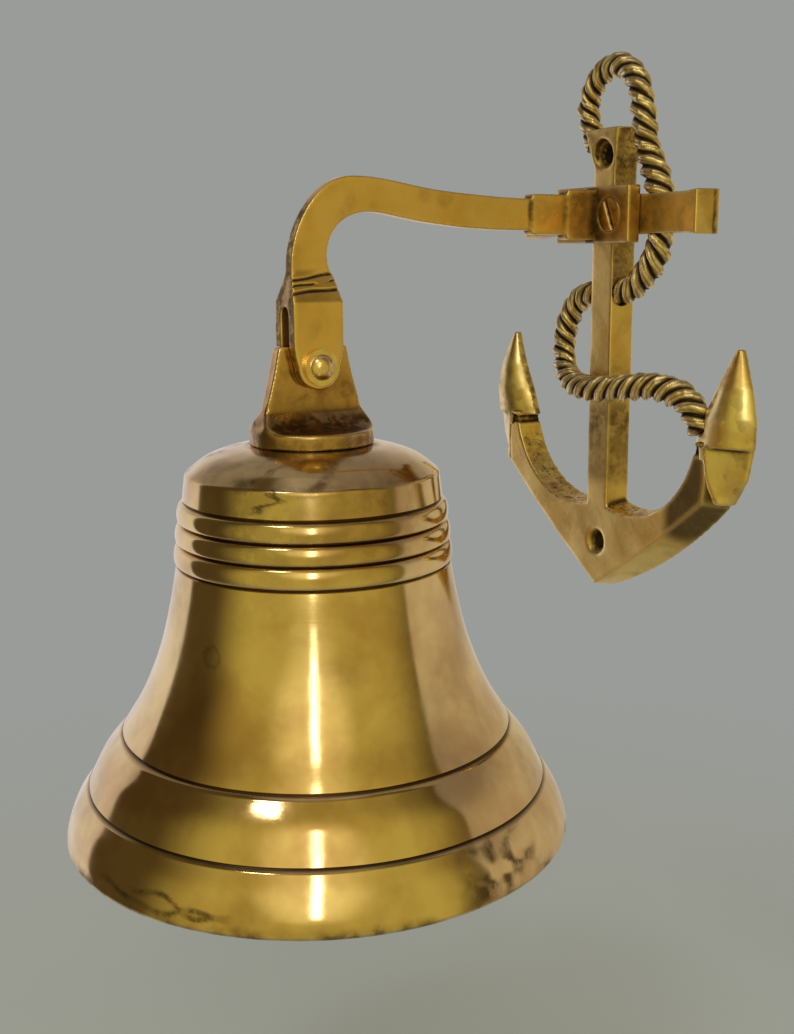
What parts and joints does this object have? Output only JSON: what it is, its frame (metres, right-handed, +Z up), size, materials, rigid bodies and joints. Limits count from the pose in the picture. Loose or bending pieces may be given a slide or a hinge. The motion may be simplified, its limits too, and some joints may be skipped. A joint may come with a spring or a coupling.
{
  "type": "ship bell",
  "caption": "Brass ship's bell hung from a forked arm on an anchor-shaped wall bracket with a cast rope, struck by a hinged clapper inside.",
  "frame": {"origin": "midway between the two wall screw holes, on the wall plane", "axes": "+Z up, +Y into the wall, -Y out of the wall towards the bell, +X to the right of someone facing the wall"},
  "size_m": [0.1524, 0.1918, 0.2465],
  "materials": {
    "bell_brass": "polished",
    "lug_brass": "polished",
    "arm_brass": "satin",
    "anchor_brass": "satin, patina in the hollows",
    "palm_brass": "polished, patina in the hollows",
    "rope_brass": "antiqued, dark in the hollows",
    "hardware_brass": "satin",
    "clapper_brass": "satin"
  },
  "bodies": {
    "bracket": {"anchor_casting": "anchor_brass", "stock_bar": "anchor_brass", "palm_right": "palm_brass", "palm_left": "palm_brass", "rope_casting": "rope_brass", "arm_casting": "arm_brass", "foot_screws": "hardware_brass", "pivot_bolt": "hardware_brass", "pivot_washers": "hardware_brass", "pivot_nut": "hardware_brass"},
    "bell": {"lug": "lug_brass", "bell_shell": "bell_brass", "crown_washer": "hardware_brass", "eye_nut": "hardware_brass"},
    "link": {"clapper_link": "hardware_brass"},
    "clapper": {"clapper": "clapper_brass"}
  },
  "joints": [
    {"name": "bell_swing", "type": "hinge", "parent": "bracket", "child": "bell", "pos_m": [0, -0.1156, 0.001], "axis": [1, 0, 0], "range_deg": [-60, 15]},
    {"name": "link_swing", "type": "hinge", "parent": "bell", "child": "link", "pos_m": [0, -0.1156, -0.0398], "axis": [1, 0, 0], "range_deg": [-24, 24]},
    {"name": "clapper_swing", "type": "hinge", "parent": "link", "child": "clapper", "pos_m": [0, -0.1156, -0.0598], "axis": [0, 1, 0], "range_deg": [-24, 24]}
  ]
}
